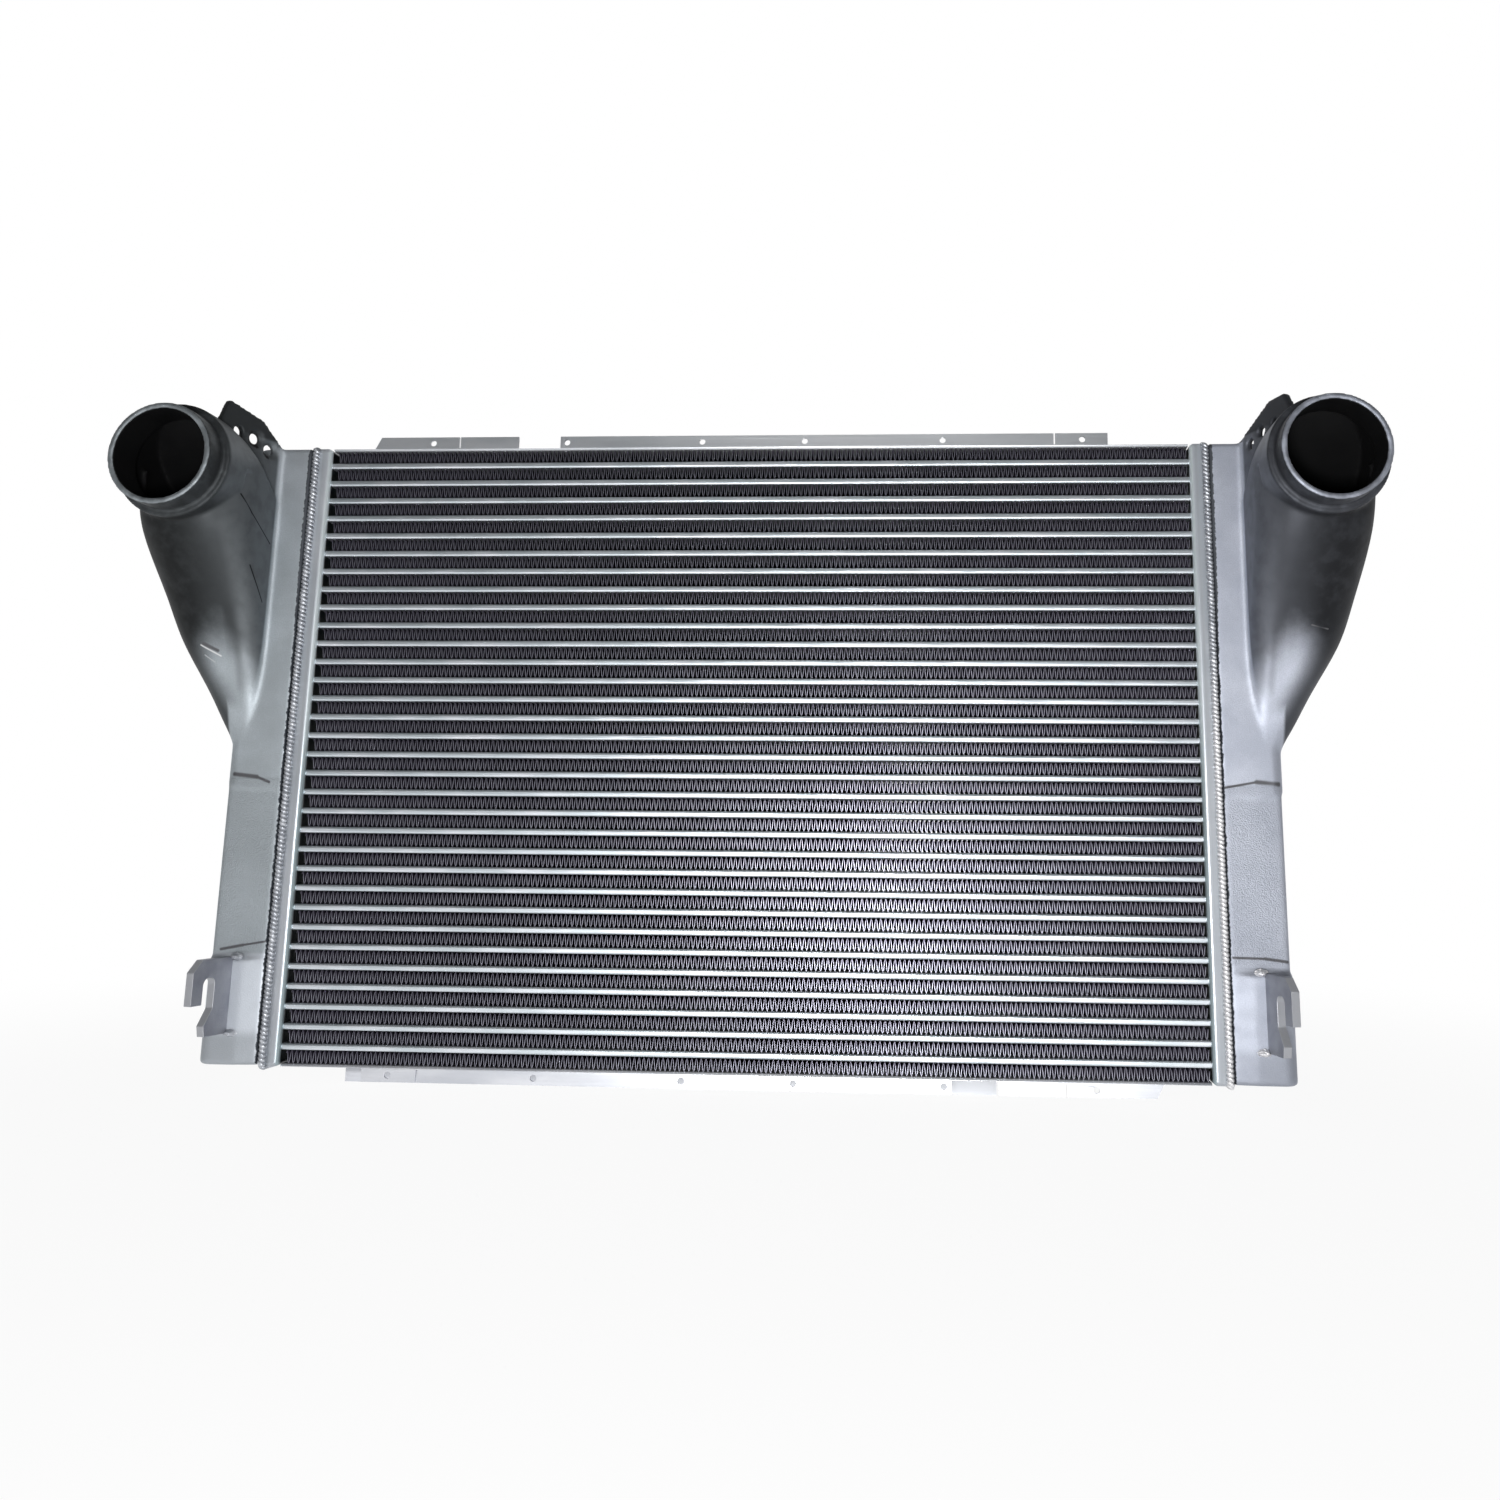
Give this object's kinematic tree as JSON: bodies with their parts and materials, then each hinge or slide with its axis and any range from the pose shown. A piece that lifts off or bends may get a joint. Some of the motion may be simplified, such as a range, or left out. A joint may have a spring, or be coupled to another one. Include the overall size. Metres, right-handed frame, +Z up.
{
  "type": "charge air cooler",
  "caption": "Wide tube-and-fin air-to-air intercooler with cast end tanks, round hose ports facing forward, bolt ears on top and hook brackets below.",
  "frame": {"origin": "bottom centre of the bounding box: middle of the width, middle of the depth over the ports, lowest edge of the bottom side plate", "axes": "+X to the viewer's right along the tubes, +Z up, -Y the way the ports face"},
  "size_m": [1.229, 0.1968, 0.6795],
  "materials": {
    "core_sheet": "satin rolled sheet, brazed",
    "fins": "thin rolled strip with dark gaps",
    "header_sheet": "satin sheet with bright folds",
    "side_sheet": "satin sheet",
    "casting": "fine sand-cast skin, blasted",
    "bracket_plate": "sawn and rolled plate",
    "weld": "rippled weld bead"
  },
  "bodies": {
    "root": {"fin_rows": "fins", "turbulators": "core_sheet", "tube_01": "core_sheet", "tube_02": "core_sheet", "tube_03": "core_sheet", "tube_04": "core_sheet", "tube_05": "core_sheet", "tube_06": "core_sheet", "tube_07": "core_sheet", "tube_08": "core_sheet", "tube_09": "core_sheet", "tube_10": "core_sheet", "tube_11": "core_sheet", "tube_12": "core_sheet", "tube_13": "core_sheet", "tube_14": "core_sheet", "tube_15": "core_sheet", "tube_16": "core_sheet", "tube_17": "core_sheet", "tube_18": "core_sheet", "tube_19": "core_sheet", "tube_20": "core_sheet", "tube_21": "core_sheet", "tube_22": "core_sheet", "tube_23": "core_sheet", "tube_24": "core_sheet", "tube_25": "core_sheet", "tube_26": "core_sheet", "tube_27": "core_sheet", "tube_28": "core_sheet", "tube_29": "core_sheet", "tube_30": "core_sheet", "tube_31": "core_sheet", "tube_32": "core_sheet", "left_header_plate": "header_sheet", "left_tank": "casting", "left_tank_weld": "weld", "left_lower_bracket": "bracket_plate", "left_bracket_welds": "weld", "right_header_plate": "header_sheet", "right_tank": "casting", "right_tank_weld": "weld", "right_lower_bracket": "bracket_plate", "right_bracket_welds": "weld", "top_side_plate": "side_sheet", "bottom_side_plate": "side_sheet"}
  },
  "joints": []
}
